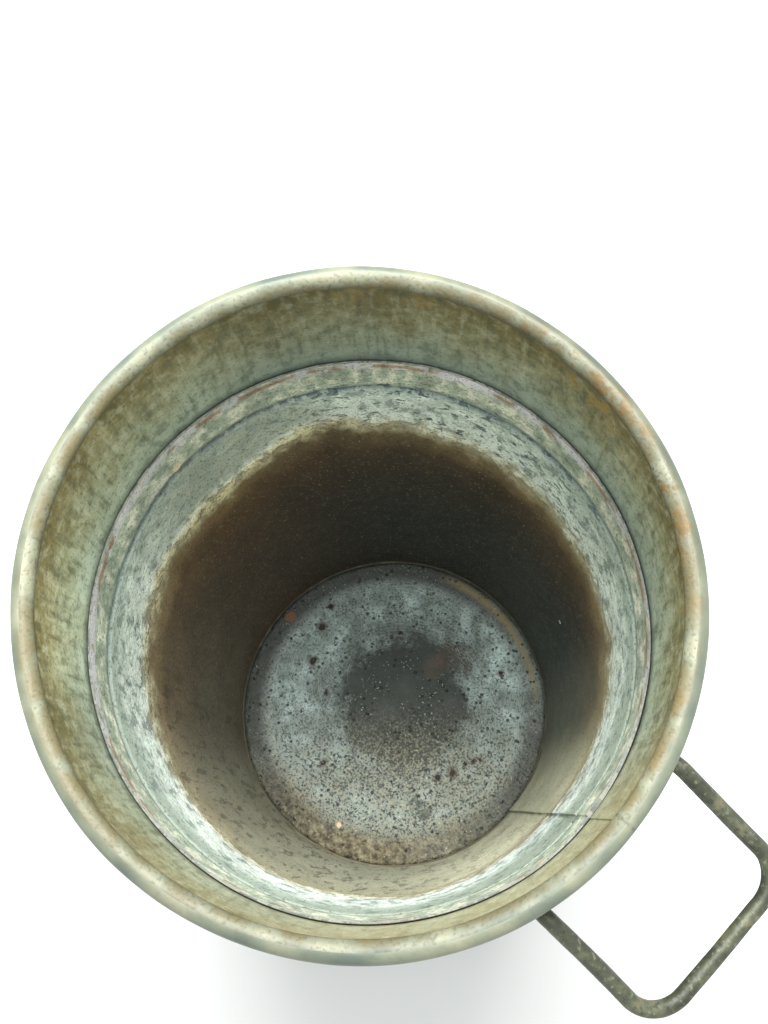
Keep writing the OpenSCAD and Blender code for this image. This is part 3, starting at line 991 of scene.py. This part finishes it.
def pits_and_specks(paint, colour, clouds, grains, wobble, small_wobble):
    """Pinholes, large pits with rust round them, soot, light specks. Returns colour and holes."""
    holes = paint.rise(paint.cells(2.8, seed=5), 0.26, 0.14) * paint.rise(clouds, 0.42, 0.54)
    colour = paint.lay(colour, (28, 27, 24), holes, 0.85)
    for angle, radius, size in PITS:
        colour = paint.lay(colour, (74, 52, 38), paint.spot(angle, radius, size * 2, small_wobble), 0.5)
        hole = paint.spot(angle, radius, size, small_wobble)
        colour = paint.lay(colour, (20, 19, 17), hole)
        holes = paint.math("MAXIMUM", holes, hole)
    for angle, radius, size in SOOT:
        colour = paint.lay(colour, (42, 46, 40), paint.spot(angle, radius, size, wobble * 0.4), 0.6)
    specks = paint.rise(grains, 0.68, 0.74) * paint.rise(clouds, 0.4, 0.6)
    colour = paint.lay(colour, (176, 182, 168), specks, 0.8)
    return colour, holes


def bottom_material():
    """Bottom disc: blue-grey zinc round a dark worn middle, rusty pits, dirt towards one side."""
    paint = Paint("bottom_patina_and_painted_light", metallic=0.08)
    clouds = paint.noise(10, detail=4, rough=0.6, seed=51)
    husk = paint.noise(2.4, detail=3, rough=0.66, seed=56)
    grains = paint.noise(0.8, detail=1, rough=0.7, seed=54)
    wobble = (clouds - 0.5) * 20 + (husk - 0.5) * 10
    small_wobble = (husk - 0.5) * 3

    colour, away = worn_zinc_and_painted_light(paint, clouds, husk, wobble)
    colour = scouring(paint, colour, husk, away)
    colour, thick = dirt_rust_and_edge_shade(paint, colour, husk, grains, wobble, small_wobble)
    colour, holes = pits_and_specks(paint, colour, clouds, grains, wobble, small_wobble)
    height = grains * 0.35 + thick * husk * 2.6 - holes
    return paint.finish(colour, clouds * 0.4 + 0.5, height, 0.8, 0.5)


def wire_material():
    """Handle and rim wire: dull olive-grey zinc, worn lighter in flecks, dark in the pits."""
    paint = Paint("wire_patina", metallic=0.2)
    clouds = paint.noise(6, detail=3, seed=71)
    flecks = paint.noise(1.6, detail=3, rough=0.65, seed=72)
    colour = paint.ramp(clouds, [(0.3, (42, 44, 32)), (0.5, (60, 63, 48)), (0.7, (86, 90, 71))])
    colour = paint.lay(colour, (126, 130, 108), paint.rise(flecks, 0.56, 0.7), 0.45)
    colour = paint.lay(colour, (38, 37, 26), paint.rise(flecks, 0.44, 0.32), 0.7)
    rust = paint.rise(clouds, 0.56, 0.66) * paint.rise(flecks, 0.44, 0.54)
    colour = paint.lay(colour, (104, 80, 52), rust, 0.4)
    return paint.finish(colour, flecks * 0.4 + 0.3, flecks, 0.6, 0.25)


def solder_material():
    """Old solder: dull light grey with dark flux stains."""
    paint = Paint("old_solder", metallic=0.2)
    clouds = paint.noise(5, detail=3, seed=91)
    flux = paint.noise(2, (1, 1, 2), detail=3, seed=92)
    colour = paint.ramp(clouds, [(0.3, (76, 78, 72)), (0.5, (106, 109, 102)), (0.7, (132, 135, 126))])
    colour = paint.lay(colour, (54, 50, 36), paint.rise(flux, 0.52, 0.64), 0.6)
    return paint.finish(colour, clouds * 0.4 + 0.3, flux, 0.6, 0.3)


def groove_material():
    """Solder in the bottom's groove, stained with the wall, with painted shade that makes it nearly black
    on the far side.
    """
    paint = Paint("stained_and_shaded_solder", metallic=0.05)
    clouds = paint.noise(4, detail=3, seed=95)
    # Painted shade: the groove is darkened on the far side and the left, lighter on the near side.
    share = paint.by_turn([(-180, 0.1), (-110, 0.4), (-60, 0.9), (-20, 0.6), (60, 0.2), (180, 0.1)])
    colour = paint.mix(share, (42, 44, 37), (112, 106, 84))
    colour = paint.lay(colour, (92, 94, 82), paint.rise(clouds, 0.5, 0.64), 0.5)
    return paint.finish(colour, clouds * 0.3 + 0.5, clouds, 0.7, 0.4)


# ---- Camera, floor and light ----

def around_rim(angle, distance, up=0.0):
    """Point at degrees from the handle, a distance from the axis and a height above the rim."""
    a = math.radians(angle)
    return Vector((distance * math.cos(a), distance * math.sin(a), RIM_Z + up))


def build_camera():
    """Camera above the near side of the rim, looking down into the vessel."""
    data = bpy.data.cameras.new("camera")
    data.lens = 42.5
    data.sensor_width = 36
    data.clip_start = 0.01
    camera = linked("camera", data)
    eye = around_rim(-28.6, 65.2 * MM, 264.4 * MM)
    aim = around_rim(113.1, 18.8 * MM)
    roll = math.radians(-9.85)
    facing = (aim - eye).to_track_quat("-Z", "Y")
    camera.location = eye
    camera.rotation_mode = "QUATERNION"
    camera.rotation_quaternion = facing @ Quaternion((0, 0, 1), roll)
    bpy.context.scene.camera = camera


def build_floor():
    """Plain white floor under the foot."""
    half = 3.0
    mesh = bpy.data.meshes.new("floor")
    mesh.from_pydata([
        (-half, -half, 0), (half, -half, 0), (half, half, 0), (-half, half, 0)
    ], [], [(0, 1, 2, 3)])
    material = bpy.data.materials.new("floor_white")
    material.use_nodes = True
    shader = material.node_tree.nodes["Principled BSDF"]
    shader.inputs["Base Color"].default_value = (0.5, 0.505, 0.505, 1)
    shader.inputs["Roughness"].default_value = 0.9
    mesh.materials.append(material)
    linked("floor", mesh)


def build_softbox(name, angle, elevation, distance, size, energy, colour):
    """Square soft light aimed at the vessel's middle."""
    data = bpy.data.lights.new(name, "AREA")
    data.size = size
    data.energy = energy
    data.color = colour
    light = linked(name, data)
    e = math.radians(elevation)
    light.location = around_rim(angle, distance * math.cos(e), distance * math.sin(e))
    light.rotation_mode = "QUATERNION"
    light.rotation_quaternion = (Vector((0, 0, RIM_Z / 2)) - light.location).to_track_quat("-Z", "Y")


def build_world():
    """Even white surroundings."""
    world = bpy.data.worlds.new("white_room")
    world.use_nodes = True
    background = world.node_tree.nodes["Background"]
    background.inputs["Color"].default_value = (0.97, 1.0, 0.98, 1)
    background.inputs["Strength"].default_value = 1.3
    bpy.context.scene.world = world


def main():
    sheet_outside = outside_material("weathered_zinc_and_painted_light")
    wire, solder, stained = wire_material(), solder_material(), groove_material()
    body_patina_and_light = body_material()
    build_body([body_patina_and_light, sheet_outside])
    build_collar([collar_material(), sheet_outside])
    build_rim_wire(wire)
    build_handle(wire)
    build_bottom(bottom_material())
    build_bottom_solder(stained)
    build_collar_solder(solder)
    build_seam_solder("body_seam_run", "body_seam_solder", body_patina_and_light, -SHEET, -1,
                      BOTTOM_Z + PAN_CORNER_R, BODY_TOP - 1 * MM, 40)
    build_seam_solder("collar_seam_run", "collar_seam_solder", solder, COLLAR_OUTSIDE, 1, COLLAR_LOW,
                      RIM_Z - BEAD_R, 42)
    for side, word in ((1, "left"), (-1, "right")):
        build_clip("clip_" + word, "handle_clip_" + word, side, sheet_outside)
        build_clip_solder("clip_bed_" + word, "clip_solder_" + word, side, solder)
    build_camera()
    build_floor()
    build_world()
    build_softbox("key", 132, 62, 1.6, 0.9, 66, (1.0, 1.0, 0.98))
    build_softbox("overhead", -28, 86, 1.8, 0.5, 12, (1.0, 1.0, 1.0))
    bpy.context.scene.view_settings.view_transform = "Standard"


main()
